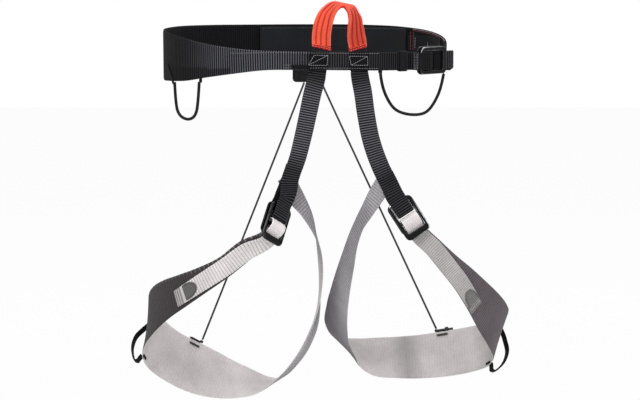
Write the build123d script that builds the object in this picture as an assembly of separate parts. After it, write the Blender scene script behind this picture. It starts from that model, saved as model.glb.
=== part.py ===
"""Lightweight climbing harness with a waist belt, a tie-in loop and two adjustable leg loops.

Millimetres, +Z up, the wearer faces -Y.  The origin is the middle of the waist belt's ring, at the
height of its middle line.  Webbing is built as ribbons: lists of stations, each a centre, a width and
the direction from the ribbon's lower edge to its upper one.
"""
import os
from collections import namedtuple
from math import cos, pi, radians, sin, tan

from build123d import *

os.makedirs("parts", exist_ok=True)

# Driving dimensions ---------------------------------------------------------------------------
WEB = 20.0                  # narrow webbing, the size the buckles take
BELT_HALF_WIDTH = 161.0     # half the belt's ring, side to side
BELT_HALF_DEPTH = 111.0     # half the belt's ring, front to back
BELT_THICK = 1.6
LINING_THICK = 3.0
PATCH_THICK = 1.0            # label, sewn reinforcement and gear loop tabs
LEG_THICK = 1.4
RISER_THICK = 1.6
TAIL_THICK = 1.5
SLEEVE_THICK = 4.6          # the tie-in loop's fabric sleeve, over its webbing
TIE_IN_CORE_THICK = 2.0
LAYER_GAP = 0.5             # air between two layers that lie on each other
TAIL_LIFT = 2.2             # a strap's free end stands this far off the band it lies on

BUCKLE_WIDTH = 31.0
BUCKLE_HALF_LENGTH = 20.5
BUCKLE_WALL = 2.6           # thickness of each of a buckle's two frames
BUCKLE_STACK = 4.8          # middle of the rear frame to middle of the front one
BUCKLE_SLOT = 21.4          # clear width for the webbing
HINGE_Y = 18.9              # the front frame turns about its top bar
WRAP_Y = -2.5               # the adjusting webbing turns round the rear frame's middle bar
WRAP_RADIUS = 2.4
LOOP_Y = 8.0                # the fixed webbing's loop turns here, below both top bars
LOOP_RADIUS = 5.2
LOOP_Z = 2.6
WAIST_EXIT = -22.0          # where the belt comes out of its buckle, under the front frame
LEG_EXIT = -17.8            # the leg strap comes out behind the front frame's deep lower bar

CORD = 2.4                  # rear elastic cords
GEAR_CORD = 3.6             # gear loops
SLOT_LENGTH = 12.0          # slots in the leg bands for the rear hooks
SLOT_HEIGHT = 2.6
SLOT_DROP = 5.0             # from the band's upper edge down to the middle of the slot

LEFT, RIGHT = 1, -1         # as seen from in front; the sign turns a ribbon's normal outwards

Station = namedtuple("Station", "centre width across")
Frame = namedtuple("Frame", "centre width along across out")


# Ribbons ----------------------------------------------------------------------------------------
def frames(stations, side=LEFT):
    """Square the across direction to the centre line at each station."""
    centres = [Vector(*s.centre) for s in stations]
    result = []
    for i, station in enumerate(stations):
        along = (centres[min(i + 1, len(centres) - 1)] - centres[max(i - 1, 0)]).normalized()
        across = Vector(*station.across)
        across = (across - along * across.dot(along)).normalized()
        out = along.cross(across) * side
        result.append(Frame(centres[i], station.width, along, across, out))
    return result


def between(frame_list, position):
    """The frame at a fractional place in a list of frames."""
    i = min(int(position), len(frame_list) - 2)
    a, b, t = frame_list[i], frame_list[i + 1], position - i
    mix = [p + (q - p) * t for p, q in zip(a, b)]
    return Frame(mix[0], mix[1], mix[2].normalized(), mix[3].normalized(), mix[4].normalized())


def ribbon_solid(frame_list, thickness, lift=0.0):
    """A strip of webbing through a list of frames, moved off their surface by lift."""
    sections = []
    for frame in frame_list:
        middle = frame.centre + frame.out * lift
        half = frame.across * (frame.width / 2)
        skin = frame.out * (thickness / 2)
        corners = [middle - half - skin, middle + half - skin, middle + half + skin, middle - half + skin]
        sections.append(Wire.make_polygon(corners, close=True))
    return Solid.make_loft(sections, ruled=True)


def ribbon(stations, thickness, side=LEFT, lift=0.0):
    return ribbon_solid(frames(stations, side), thickness, lift)


def narrow(frame_list, width, lift, edge=0):
    """Frames for a narrower strip on a band: edge -1 lines it up with the lower edge, 0 centres it."""
    result = []
    for f in frame_list:
        centre = f.centre + f.across * (edge * (f.width - width) / 2) + f.out * lift
        result.append(Frame(centre, width, f.along, f.across, f.out))
    return result


def plane_on(frame, across=0.0):
    """A plane on a ribbon: x along it, y across it, z out of its face."""
    y_dir = frame.across
    z_dir = frame.out
    return Plane(frame.centre + y_dir * across, x_dir=y_dir.cross(z_dir), z_dir=z_dir)


def edge_plane(frame_list, position):
    """A plane at a ribbon's upper edge: x along the edge, y away across the ribbon, z out of its face."""
    before, at, after = [between(frame_list, position + step) for step in (-0.2, 0, 0.2)]
    ends = [f.centre + f.across * (f.width / 2) for f in (before, at, after)]
    along = ends[2] - ends[0]
    z_dir = along.cross(at.across)
    if z_dir.dot(at.out) < 0:
        z_dir = -z_dir
    return Plane(ends[1], x_dir=at.across.cross(z_dir), z_dir=z_dir)


def block(plane, x, y, z):
    """A box between two values on each of a plane's axes."""
    size = (x[1] - x[0], y[1] - y[0], z[1] - z[0])
    middle = ((x[0] + x[1]) / 2, (y[0] + y[1]) / 2, (z[0] + z[1]) / 2)
    return plane * Pos(*middle) * Box(*size)


def one_solid(shape):
    return max(shape.solids(), key=lambda solid: solid.volume)


def save(shape, name):
    export_step(shape, f"parts/{name}.step")


# Cords --------------------------------------------------------------------------------------------
def cord_solid(points, diameter, name):
    """A tube of straight runs and tangent arcs; each arc is as large as its two runs allow."""
    nodes = [Vector(*p) for p in points]
    runs = [b - a for a, b in zip(nodes, nodes[1:])]
    radii = []
    for a, b in zip(runs, runs[1:]):
        half_turn = radians(a.get_angle(b)) / 2
        radii.append(0.45 * min(a.length, b.length) / tan(half_turn))
    path = FilletPolyline(*nodes, radius=radii)
    start = Plane(nodes[0], z_dir=runs[0])
    tube = sweep(start * Circle(diameter / 2), path=path)
    expected = pi * diameter ** 2 / 4 * path.length
    print(name, "radii", [round(r, 1) for r in radii], "length", round(path.length, 1),
          "volume ratio", round(tube.volume / expected, 3))
    return tube


# Buckles ------------------------------------------------------------------------------------------
def buckle_plane(origin, across, down):
    """A buckle's plane: x along its bars, y up to the fixed webbing, z outwards."""
    x_dir = Vector(*across).normalized()
    down_dir = Vector(*down)
    down_dir = (down_dir - x_dir * down_dir.dot(x_dir)).normalized()
    return Plane(Vector(*origin), x_dir=x_dir, z_dir=down_dir.cross(x_dir))


def buckle_ring(width, top, bottom, windows, level):
    """One of a buckle's frames: a rounded plate with windows, its rims chamfered."""
    corner = 6.0
    rim = 0.5
    face = Pos(0, (top + bottom) / 2) * RectangleRounded(width, top - bottom, corner)
    for low, high in windows:
        face -= Pos(0, (low + high) / 2) * RectangleRounded(BUCKLE_SLOT, high - low, 1.2)
    plate = extrude(Pos(0, 0, -BUCKLE_WALL / 2) * face, amount=BUCKLE_WALL)
    rims = plate.edges().group_by(Axis.Z)
    plate = chamfer(rims[0] + rims[-1], length=rim)
    return Pos(0, 0, level) * plate


# A frame's lower edge and its windows, along the buckle
REAR_FRAME = {"waist": (-20.5, [(-15.0, -5.5), (-2.2, 16.8)]), "leg": (-17.5, [(-12.2, -5.3), (-2.2, 16.8)])}
FRONT_FRAME = {"waist": (-19.7, [(-13.6, 17.4)]), "leg": (-24.8, [(-17.0, 17.4)])}


def rear_frame(plane, kind):
    """The frame with three bars: a top bar, a middle bar that the strap wraps, and a bottom bar."""
    bottom, windows = REAR_FRAME[kind]
    return plane * buckle_ring(BUCKLE_WIDTH, BUCKLE_HALF_LENGTH, bottom, windows, 0.0)


def front_frame(plane, kind):
    """The frame that turns about its top bar and pinches the strap under its bottom bar."""
    bottom, windows = FRONT_FRAME[kind]
    return plane * buckle_ring(BUCKLE_WIDTH - 1.0, BUCKLE_HALF_LENGTH - 0.2, bottom, windows, BUCKLE_STACK)


def in_buckle(plane, y, z, side, width=WEB):
    """A station of webbing that runs square across a buckle's bars."""
    place = plane.from_local_coords(Vector(0, y, z))
    return Station(place, width, plane.x_dir * -side)


def turn(plane, y, z, radius, first, last, side, width=WEB, count=5):
    """Stations round a bar: angles in degrees from the plane's y axis towards its z axis."""
    result = []
    for i in range(count):
        angle = radians(first + (last - first) * i / (count - 1))
        result.append(in_buckle(plane, y + radius * cos(angle), z + radius * sin(angle), side, width))
    return result


# The leg webbing's way through its buckle: behind it, round the middle bar and out in a loose roll
LEG_WRAP = [(-14, -3.4), (-7, -2.5), (-3, -2.5), (-1.2, -1.6), (0.1, 0.8), (0.5, 4), (-0.3, 7.2), (-3, 9.6), (-7, 10),
            (-11, 8), (-14, 5), (-15.6, 2.9), (LEG_EXIT, 2.3)]


def wrap_stations(plane, side):
    """Adjusting webbing: up behind the buckle, round the middle bar and out under the front frame."""
    return [in_buckle(plane, y, z, side) for y, z in LEG_WRAP]


def loop_stations(plane, side):
    """Fixed webbing: over both top bars in front, round them and back up behind."""
    front_z = LOOP_Z + LOOP_RADIUS
    back_z = LOOP_Z - LOOP_RADIUS
    front = [in_buckle(plane, 27, front_z + 1.5, side), in_buckle(plane, 22, front_z + 0.2, side),
             in_buckle(plane, 14, front_z, side)]
    round_bars = turn(plane, LOOP_Y, LOOP_Z, LOOP_RADIUS, 90, 270, side)
    behind = [in_buckle(plane, 14, back_z, side), in_buckle(plane, 22, back_z, side),
              in_buckle(plane, 27, back_z + 1.5, side)]
    return front + round_bars + behind


BUCKLES = {
    "waist": buckle_plane((140, -56.5, -3.5), (0, 0, 1), (0.75, 0.66, 0)),
    "left": buckle_plane((-33, -108, -178), (0.70, 0.50, -0.52), (-0.30, -0.50, -0.80)),
    "right": buckle_plane((113, -110, -171), (0.84, 0.12, 0.53), (0.55, -0.12, -0.83)),
}


# Waist belt ---------------------------------------------------------------------------------------
def on_belt(angle, height, width=WEB, out=0.0):
    """A station on the belt's oval: 0 is the right side, 90 the back, 180 the left, 270 the front."""
    c, s = cos(radians(angle)), sin(radians(angle))
    normal = Vector(c / BELT_HALF_WIDTH, s / BELT_HALF_DEPTH, 0).normalized()
    place = Vector(BELT_HALF_WIDTH * c, BELT_HALF_DEPTH * s, height) + normal * out
    return Station(place, width, (0, 0, 1))


# angle, height of the middle line, width: wide at the back and sides, 20 mm webbing in front
BELT_ROUND = [(-10, -2.5, 23), (-1, -1, 31), (10, 0, 38), (25, 1, 46), (45, 2.5, 51), (68, 3.5, 52), (90, 3.5, 52),
              (112, 3, 53), (135, 2, 56), (155, 1, 58), (172, 0, 58), (188, -0.5, 57), (202, -1.5, 53), (215, -2.6, 47.2),
              (228, -2.6, 37.2), (241, -2.1, 28.2), (254, -1, 21.5), (268, -1, WEB), (284, -1.5, WEB), (299, -2.5, WEB),
              (310, -3, WEB), (318, -3.4, WEB)]


def belt_stations():
    plane = BUCKLES["waist"]
    behind = [in_buckle(plane, -3, -WRAP_RADIUS, RIGHT), in_buckle(plane, -12, -3.0, RIGHT)]
    middle = [on_belt(angle, height, width) for angle, height, width in BELT_ROUND]
    return behind + middle


def make_belt():
    plane = BUCKLES["waist"]
    round_bar = turn(plane, WRAP_Y, 0, WRAP_RADIUS, 90, -90, RIGHT)
    out_of_buckle = [in_buckle(plane, WAIST_EXIT, WRAP_RADIUS, RIGHT), in_buckle(plane, -12, WRAP_RADIUS, RIGHT)]
    stations = out_of_buckle + round_bar + belt_stations()[1:] + loop_stations(plane, RIGHT)
    save(ribbon(stations, BELT_THICK), "waist_band")


def belt_place(angle):
    """The fractional place in BELT_ROUND of an angle round the belt."""
    angles = [row[0] for row in BELT_ROUND]
    i = max(k for k in range(len(angles) - 1) if angles[k] <= angle)
    return i + (angle - angles[i]) / (angles[i + 1] - angles[i])


def belt_strip(first, last, height, width, lift, thickness):
    """A strip on the belt between two angles, on its outer face or, with a negative lift, its inner one."""
    belt = frames([on_belt(*row) for row in BELT_ROUND])
    start, end = belt_place(first), belt_place(last)
    places = [start] + [i for i in range(len(belt)) if start + 0.1 < i < end - 0.1] + [end]
    strip = []
    for place in places:
        f = between(belt, place)
        centre = Vector(f.centre.X, f.centre.Y, height) + f.out * lift
        strip.append(Frame(centre, width, f.along, Vector(0, 0, 1), f.out))
    return ribbon_solid(strip, thickness)


def make_belt_parts():
    inner_face = -(BELT_THICK / 2 + LAYER_GAP)
    outer_face = BELT_THICK / 2 + LAYER_GAP
    save(belt_strip(41.5, 110, 3, 47, inner_face - LINING_THICK / 2, LINING_THICK), "back_lining")
    save(belt_strip(11, 40, 2.5, 31, inner_face - PATCH_THICK / 2, PATCH_THICK), "label_patch")
    save(belt_strip(263, 272, -7.5, 5, outer_face + PATCH_THICK / 2, PATCH_THICK), "front_reinforcement")
    tab = Plane((4, BELT_HALF_DEPTH + 2.8, -27), x_dir=(1, 0, 0), z_dir=(0, -1, 0))
    save(tab * extrude(RectangleRounded(40, 27, 4), amount=1.3, both=True), "back_tab")


def make_waist_tail():
    plane = BUCKLES["waist"]
    stations = [in_buckle(plane, WAIST_EXIT - below, WRAP_RADIUS, RIGHT) for below in (0.6, 8)]
    for angle, height, out in ((-6, -7, 5.5), (3, -9, 5.6), (12, -10.2, 5.0), (22, -10.7, 4.0)):
        stations.append(on_belt(angle, height, out=out))
    save(ribbon(stations, TAIL_THICK), "waist_strap_tail")


def keeper_plane():
    """The waist strap's elastic keeper sits square on the strap, in front of the buckle."""
    strap = frames([on_belt(angle, -3) for angle in (306, 310, 314)])[1]
    return plane_on(strap)


def make_strap_keeper():
    plane = keeper_plane()
    outer = block(plane, (-6, 6), (-12.4, 12.4), (-3.1, 3.1))
    inner = block(plane, (-7, 7), (-11.2, 11.2), (-2.0, 2.0))
    save(one_solid(outer - inner), "strap_keeper")


# Tie-in loop --------------------------------------------------------------------------------------
# Up from behind the belt's upper edge on the left, over and down behind it again on the right
TIE_IN = [Station((18.8, -107.2, 12), WEB, (-1, -0.07, 0)), Station((18.6, -109, 18.5), WEB, (-1, 0, 0.1)),
          Station((19, -113.5, 29), WEB, (-0.98, 0.1, 0.1)), Station((21, -117, 40), WEB, (-0.97, 0.25, 0)),
          Station((26, -117.5, 51), WEB, (-0.75, 0.6, 0.25)), Station((34, -117, 58), WEB, (-0.35, 0.9, 0.3)),
          Station((43, -117, 59), WEB, (0.05, 1, 0)), Station((50, -118, 55), WEB, (0.4, 0.9, 0.1)),
          Station((54, -117.5, 46), WEB, (0.6, 0.8, 0)), Station((55, -114, 35), WEB, (0.75, 0.6, 0)),
          Station((56.3, -107, 25), WEB, (0.88, 0.4, 0.05)), Station((57.8, -101, 17), WEB, (0.965, 0.262, 0)),
          Station((58.2, -100.3, 12), WEB, (0.965, 0.262, 0))]


def make_tie_in():
    ring = frames(TIE_IN)
    save(ribbon_solid(ring, TIE_IN_CORE_THICK), "tie_in_webbing")
    covered = [Frame(f.centre, f.width + 1.5, f.along, f.across, f.out) for f in ring[1:-1]]
    hollow = [Frame(f.centre, f.width + 0.5, f.along, f.across, f.out) for f in ring]
    sleeve = ribbon_solid(covered, SLEEVE_THICK) - ribbon_solid(hollow, TIE_IN_CORE_THICK + 0.5)
    save(one_solid(sleeve), "tie_in_sleeve")


# Risers -------------------------------------------------------------------------------------------
# The first four stations are the tack behind the belt, the rest hangs below it
RISERS = {
    "left": [Station((19.3, -107.1, 9.5), WEB, (1, 0.07, 0)), Station((19.2, -107.1, 6), WEB, (1, 0.07, 0)),
             Station((14.6, -107.4, -8.5), WEB, (1, 0.07, 0)), Station((14.2, -107.4, -13.2), WEB, (1, 0.07, 0)),
             Station((14, -107.5, -14.4), WEB, (1, 0.07, -0.1)), Station((13.2, -108.4, -20), WEB, (1, 0.08, -0.1)),
             Station((9.5, -110.8, -34), WEB, (1, 0.1, -0.15)), Station((4.5, -112, -57), WEB, (0.95, 0.2, -0.2)),
             Station((-1, -111.5, -82), WEB, (0.95, 0.28, -0.25)), Station((-7, -111, -106), WEB, (0.9, 0.35, -0.28)),
             Station((-15, -108, -130), WEB, (0.85, 0.4, -0.4))],
    "right": [Station((58.2, -100.3, 9.5), WEB, (-0.965, -0.262, 0)),
              Station((58.3, -100.3, 6), WEB, (-0.965, -0.262, 0)),
              Station((59.8, -99.9, -8.5), WEB, (-0.965, -0.262, 0)),
              Station((60.1, -99.8, -13.2), WEB, (-0.965, -0.262, 0)),
              Station((60.2, -100.2, -15.2), WEB, (-0.98, -0.2, 0)), Station((61, -101.8, -21), WEB, (-1, -0.1, 0)),
              Station((63.6, -106, -34), WEB, (-1, 0.05, -0.05)), Station((66.8, -110.5, -57), WEB, (-1, 0.2, -0.1)),
              Station((73, -111.5, -88), WEB, (-0.95, 0.2, -0.25)), Station((83, -111, -116), WEB, (-0.9, 0.15, -0.4)),
              Station((94, -111, -138), WEB, (-0.85, 0, -0.5))],
}
TACK = 4                    # stations of a riser that are sewn behind the belt


def make_riser(name, side):
    """The tack behind the belt stays with the belt; the riser hangs from it and loops round the buckle."""
    stations = RISERS[name]
    save(ribbon(stations[:TACK], RISER_THICK, side), f"riser_tack_{name}")
    hanging = stations[TACK:]
    facing = [Station(s.centre, s.width, s.across) for s in loop_stations(BUCKLES[name], -side)]
    returned = []
    for frame in frames(hanging, side)[-1:-3:-1]:
        behind = frame.centre - frame.out * (RISER_THICK + LAYER_GAP)
        returned.append(Station(behind, WEB, frame.across))
    halfway = (returned[0].centre + returned[1].centre) * 0.5
    returned[1] = Station(halfway, WEB, returned[1].across)
    save(ribbon(hanging + facing + returned, RISER_THICK, side), f"riser_{name}")


# Leg loops ----------------------------------------------------------------------------------------
# From the riser down the inside of the thigh, round the back and up the outside to the buckle
LEG_BANDS = {
    "left": [Station((-21, -103, -127.8), 20, (0.85, 0.3, 0.44)), Station((-9, -84.5, -154), 20, (0.8, 0.42, 0.25)),
             Station((2, -82, -171), 21, (0.5, 0.85, 0.2)), Station((9, -76, -186), 23, (0.12, 0.93, 0.35)),
             Station((14, -66, -203), 27, (-0.16, 0.86, 0.47)), Station((17, -50, -226), 32, (-0.2, 0.8, 0.55)),
             Station((17.5, -33, -252), 37, (-0.1, 0.85, 0.5)), Station((15.5, -14, -283), 43, (0.05, 0.9, 0.42)),
             Station((10.5, 4, -313), 48, (0.29, 0.85, 0.44)), Station((1, 22, -344), 54, (0.41, 0.86, 0.3)),
             Station((-17, 36, -375), 58, (0.38, 0.92, 0.08)), Station((-39, 45, -396), 60, (0.3, 0.95, 0)),
             Station((-82, 50, -395.5), 61, (0.08, 0.87, 0.48)), Station((-118, 50, -385), 62, (0.13, 0.6, 0.8)),
             Station((-148, 47, -371), 60, (0.17, 0.3, 0.95)), Station((-171, 37, -353), 58, (0.2, 0.2, 0.95)),
             Station((-183, 18, -329.5), 58, (0.15, 0.25, 0.95)), Station((-183, -6, -308), 58, (0.06, 0.32, 0.95)),
             Station((-173, -32, -290), 53, (-0.06, 0.42, 0.9)), Station((-158, -55, -275), 46, (-0.22, 0.5, 0.82)),
             Station((-138, -75, -261), 38, (-0.32, 0.45, 0.8)), Station((-115, -92, -246), 30, (-0.42, 0.35, 0.78)),
             Station((-88, -105, -228), 24, (-0.52, 0.15, 0.78)), Station((-64, -113.2, -207.6), 23.5, (-0.6, -0.1, 0.74))],
    "right": [Station((85, -103, -134), 20, (-0.88, 0.2, 0.46)), Station((78, -99, -151), 20, (-0.76, 0.42, 0.5)),
              Station((70, -93, -166), 20.5, (-0.55, 0.66, 0.5)), Station((62, -86, -181), 22, (-0.38, 0.82, 0.42)),
              Station((55, -76, -201), 25, (-0.38, 0.86, 0.34)), Station((49, -62, -228), 30, (-0.44, 0.82, 0.34)),
              Station((43, -45, -257), 36, (-0.46, 0.8, 0.36)), Station((39, -27, -283), 42, (-0.47, 0.8, 0.36)),
              Station((37, -8, -306), 48, (-0.5, 0.78, 0.38)), Station((38, 12, -331), 53, (-0.56, 0.72, 0.4)),
              Station((49, 28, -351), 58, (-0.58, 0.66, 0.48)), Station((72, 39, -362), 61, (-0.42, 0.7, 0.57)),
              Station((104, 45, -365), 61, (-0.25, 0.72, 0.64)), Station((138, 46, -364), 61, (-0.12, 0.7, 0.7)),
              Station((170, 41, -359), 61, (0, 0.64, 0.76)), Station((199, 31, -351), 61, (0.1, 0.6, 0.78)),
              Station((220, 14, -340), 60, (0.22, 0.53, 0.81)), Station((227, -8, -325), 58, (0.33, 0.42, 0.84)),
              Station((221, -31, -309), 54, (0.42, 0.38, 0.82)), Station((208, -53, -288), 48, (0.5, 0.36, 0.78)),
              Station((193, -73, -266), 39, (0.55, 0.35, 0.73)), Station((177, -89, -245), 31, (0.63, 0.3, 0.68)),
              Station((159, -101, -225), 25, (0.7, 0.2, 0.65)), Station((143, -109, -207), 21.5, (0.76, 0.1, 0.6))],
}
HOOK_AT = {"left": 13.87, "right": 13.83}       # place of the rear hook along the leg band
KEEPER_AT = {"left": 15.75, "right": 16.05}     # place of the elastic keeper along the leg band
TAIL_END_AT = {"left": 19.7, "right": 19.7}    # where the adjusting strap's end lies on the band


def band_frames(name, side):
    """The leg band's frames, with the webbing through the buckle at the end."""
    return frames(LEG_BANDS[name] + wrap_stations(BUCKLES[name], side), side)


def hook_slot(band, position):
    """The slot near the band's upper edge that the rear hook's tongue passes through."""
    half = SLOT_HEIGHT / 2
    plane = edge_plane(band, position)
    return block(plane, (-SLOT_LENGTH / 2, SLOT_LENGTH / 2), (-SLOT_DROP - half, -SLOT_DROP + half), (-4, 4))


def make_leg_band(name, side):
    band = band_frames(name, side)
    solid = ribbon_solid(band, LEG_THICK) - hook_slot(band, HOOK_AT[name])
    save(one_solid(solid), f"leg_band_{name}")


def tail_frames(name, side):
    """The adjusting strap: out of the buckle and back down over the band's outer face."""
    band = band_frames(name, side)
    end = TAIL_END_AT[name]
    laid = [between(band, end)] + [band[i] for i in range(int(end) + 1, 24)]
    laid = narrow(laid, WEB, TAIL_LIFT, edge=-1)
    plane = BUCKLES[name]
    leaving = [in_buckle(plane, y, z, side) for y, z in ((-22.5, -1.6), (-20.2, 1.0), (LEG_EXIT - 0.5, 2.3))]
    across = [Station(f.centre, f.width, f.across) for f in laid]
    return frames(across + leaving, side)


def make_leg_strap(name, side):
    """The strap's free end, and the hem folded over at its tip."""
    strap = tail_frames(name, side)
    save(ribbon_solid(strap, TAIL_THICK), f"leg_strap_{name}")
    hem = [strap[0], between(strap, 0.55)]
    save(ribbon_solid(narrow(hem, WEB - 1.0, TAIL_THICK / 2 + 0.9), 1.2), f"strap_hem_{name}")


def make_hook(name, side):
    """A moulded hook: a plate outside, a tongue through the slot, a toggle inside and a bar on top."""
    band = band_frames(name, side)
    plane = edge_plane(band, HOOK_AT[name])
    slot = -SLOT_DROP
    flip = 1 if plane.x_dir.X > 0 else -1
    end = flip if name == "left" else -flip
    body = block(Plane.XY, (-7, 7), (slot - 2.5, 3.4), (1.2, 3.0))
    body += block(Plane.XY, (-5, 5), (slot - 0.8, slot + 0.8), (-2.0, 2.0))
    body += block(Plane.XY, (-5.5, 5.5), (slot - 1.2, slot + 1.2), (-2.6, -1.2))
    body += block(Plane.XY, (-7, 7), (1.0, 3.4), (-1.0, 2.0))
    body += block(Plane.XY, sorted((-end * 7.6, -end * 3.4)), (1.6, 4.6), (-1.6, 2.4))
    body += block(Plane.XY, sorted((-end * 4.0, -end * 13.0)), (1.2, 2.4), (1.0, 2.2))
    body += block(Plane.XY, sorted((end * 5.4, end * 9.6)), (0.9, 4.2), (-1.4, 2.6))
    save(plane * one_solid(body), f"rear_hook_{name}")
    return plane.from_local_coords(Vector(end * 7.6, 5.3, 0.6))


# Across the band and out from its face
KEEPER_PATH = [(24, 2.2), (22, 6), (16, 11.5), (7, 16.5), (-3, 20.5), (-13, 20), (-22, 17), (-30, 12), (-35.5, 7),
               (-35.5, 3.6), (-31, 2.3), (-27.5, 2.3)]
KEEPER_WIDTH = 9.0


def make_leg_keeper(name, side):
    """An elastic tape that arches over the band's outer face, to tuck the strap's end under."""
    band = band_frames(name, side)
    plane = plane_on(between(band, KEEPER_AT[name]))
    stations = []
    for y, z in KEEPER_PATH:
        stations.append(Station(plane.from_local_coords(Vector(0, y, z)), KEEPER_WIDTH, plane.x_dir))
    save(ribbon(stations, 1.2), f"leg_keeper_{name}")


# Cords and gear loops -----------------------------------------------------------------------------
TAB_EXITS = {"left": (-2, BELT_HALF_DEPTH + 2.8, -41), "right": (19, BELT_HALF_DEPTH + 2.8, -41)}
GEAR_LOOPS = {
    "left": [(-145.5, -47.5, -28.5), (-144.7, -48.3, -48.6), (-141.8, -51.1, -64.7), (-130.4, -62.4, -70.3),
             (-120.2, -72.5, -64.4), (-117.3, -75.3, -46.4), (-116, -76.6, -26.4)],
    "right": [(83, -93, -13.5), (84, -92, -25), (89.6, -86.5, -42), (98.9, -77.3, -56.7), (111.7, -64.7, -63),
              (127, -49.6, -65.4), (138.2, -38.5, -63), (147.2, -29.7, -52), (154.3, -22.7, -37),
              (157.3, -19.7, -21.5)],
}


def make_rear_cord(name, hook_end):
    """An elastic cord, straight from the back tab to the hook's eye."""
    start = Vector(*TAB_EXITS[name])
    run = hook_end - start
    bend = start + run * 0.06 + Vector(0, 0, -1.5)
    save(cord_solid([tuple(start), tuple(bend), tuple(hook_end)], CORD, f"rear_cord_{name}"), f"rear_cord_{name}")


def make_gear_loop(name):
    save(cord_solid(GEAR_LOOPS[name], GEAR_CORD, f"gear_loop_{name}"), f"gear_loop_{name}")


def make_gear_anchors():
    """Sewn tabs that hold the gear loops' ends to the belt."""
    lift = BELT_THICK / 2 + LAYER_GAP + PATCH_THICK / 2
    save(belt_strip(197, 202.5, -20, 17, lift, PATCH_THICK), "gear_anchor_left_rear")
    save(belt_strip(222.5, 226.5, -16.5, 17, -lift, PATCH_THICK), "gear_anchor_left_front")
    save(belt_strip(299.5, 303, -6, 12, -lift, PATCH_THICK), "gear_anchor_right_front")
    save(belt_strip(-9.5, -5, -8, 12, -lift, PATCH_THICK), "gear_anchor_right_rear")


def main():
    make_belt()
    make_belt_parts()
    make_waist_tail()
    make_strap_keeper()
    make_tie_in()
    make_gear_anchors()
    for name, side in (("left", LEFT), ("right", RIGHT)):
        make_riser(name, side)
        make_leg_band(name, side)
        make_leg_strap(name, side)
        make_leg_keeper(name, side)
        make_rear_cord(name, make_hook(name, side))
        make_gear_loop(name)
    for name, plane in BUCKLES.items():
        kind = "waist" if name == "waist" else "leg"
        save(rear_frame(plane, kind), f"{name}_buckle_frame")
        save(front_frame(plane, kind), f"{name}_buckle_slider")


main()
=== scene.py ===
"""Climbing harness: the visual model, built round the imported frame.  Metres, +Z up, the wearer faces -Y."""
import random
from collections import namedtuple
from math import cos, pi, radians, sin, sqrt

import bmesh
import bpy
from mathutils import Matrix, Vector
from numpy import interp


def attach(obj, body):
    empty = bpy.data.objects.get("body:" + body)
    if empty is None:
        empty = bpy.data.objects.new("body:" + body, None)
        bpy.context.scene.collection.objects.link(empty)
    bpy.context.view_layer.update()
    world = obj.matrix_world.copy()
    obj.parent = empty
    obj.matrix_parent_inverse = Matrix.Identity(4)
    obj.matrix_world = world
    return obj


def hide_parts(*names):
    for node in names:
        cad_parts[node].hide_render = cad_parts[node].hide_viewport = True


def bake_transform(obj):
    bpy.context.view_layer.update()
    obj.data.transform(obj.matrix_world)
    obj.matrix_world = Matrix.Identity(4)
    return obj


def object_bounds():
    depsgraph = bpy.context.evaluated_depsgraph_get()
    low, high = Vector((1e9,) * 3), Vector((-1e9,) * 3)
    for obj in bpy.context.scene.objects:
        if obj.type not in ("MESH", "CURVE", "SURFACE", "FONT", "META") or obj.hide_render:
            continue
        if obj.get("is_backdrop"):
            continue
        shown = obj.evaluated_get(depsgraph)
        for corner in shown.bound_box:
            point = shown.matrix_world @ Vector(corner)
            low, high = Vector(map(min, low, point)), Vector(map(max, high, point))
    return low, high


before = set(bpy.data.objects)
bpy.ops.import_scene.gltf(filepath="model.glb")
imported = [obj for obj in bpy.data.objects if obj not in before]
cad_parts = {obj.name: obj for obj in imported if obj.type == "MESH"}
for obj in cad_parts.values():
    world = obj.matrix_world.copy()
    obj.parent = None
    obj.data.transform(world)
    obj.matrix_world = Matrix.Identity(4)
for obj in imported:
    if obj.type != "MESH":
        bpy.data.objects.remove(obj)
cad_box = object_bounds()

MM = 0.001
WEB = 20.0                  # width of the narrow webbing, mm
Station = namedtuple("Station", "centre width across")
LEFT, RIGHT = 1, -1


class Frame(namedtuple("Frame", "centre width along across out")):
    """A ribbon's middle, width and directions at one place."""

    def point(self, v=0.0, out=0.0, along=0.0):
        return self.centre + self.across * v + self.out * out + self.along * along


# Mesh helpers
def add_object(name, data):
    obj = bpy.data.objects.new(name, data)
    bpy.context.scene.collection.objects.link(obj)
    return obj


def mesh_object(name, points, faces, uv=None, layers=None):
    """A mesh from points in mm.  uv gives one pair per point; layers are float attributes per point."""
    mesh = bpy.data.meshes.new(name)
    mesh.from_pydata([Vector(p) * MM for p in points], [], faces)
    if uv:
        layer = mesh.uv_layers.new(name="UVMap")
        for loop in mesh.loops:
            layer.data[loop.index].uv = uv[loop.vertex_index]
    for key, values in (layers or {}).items():
        mesh.attributes.new(key, "FLOAT", "POINT").data.foreach_set("value", values)
    mesh.polygons.foreach_set("use_smooth", [True] * len(mesh.polygons))
    mesh.validate()
    mesh.update()
    return add_object(name, mesh)


def tube_faces(rows, count, start=0, flip=False):
    """The faces of a tube through rows of count points; the last two close its ends."""
    last = start + (rows - 1) * count
    faces = [(a + k, a + (k + 1) % count, a + count + (k + 1) % count, a + count + k)
             for a in range(start, last, count) for k in range(count)]
    faces += [tuple(range(start, start + count))[::-1], tuple(range(last, last + count))]
    return [face[::-1] for face in faces] if flip else faces


def finish_piece(obj, material, slot, body, *nodes):
    """Give a piece its material and put it on a body in place of its CAD nodes; slot is not used."""
    obj.data.materials.append(material)
    if body:
        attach(obj, body)
    if nodes:
        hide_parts(*nodes)
    return obj


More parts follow.
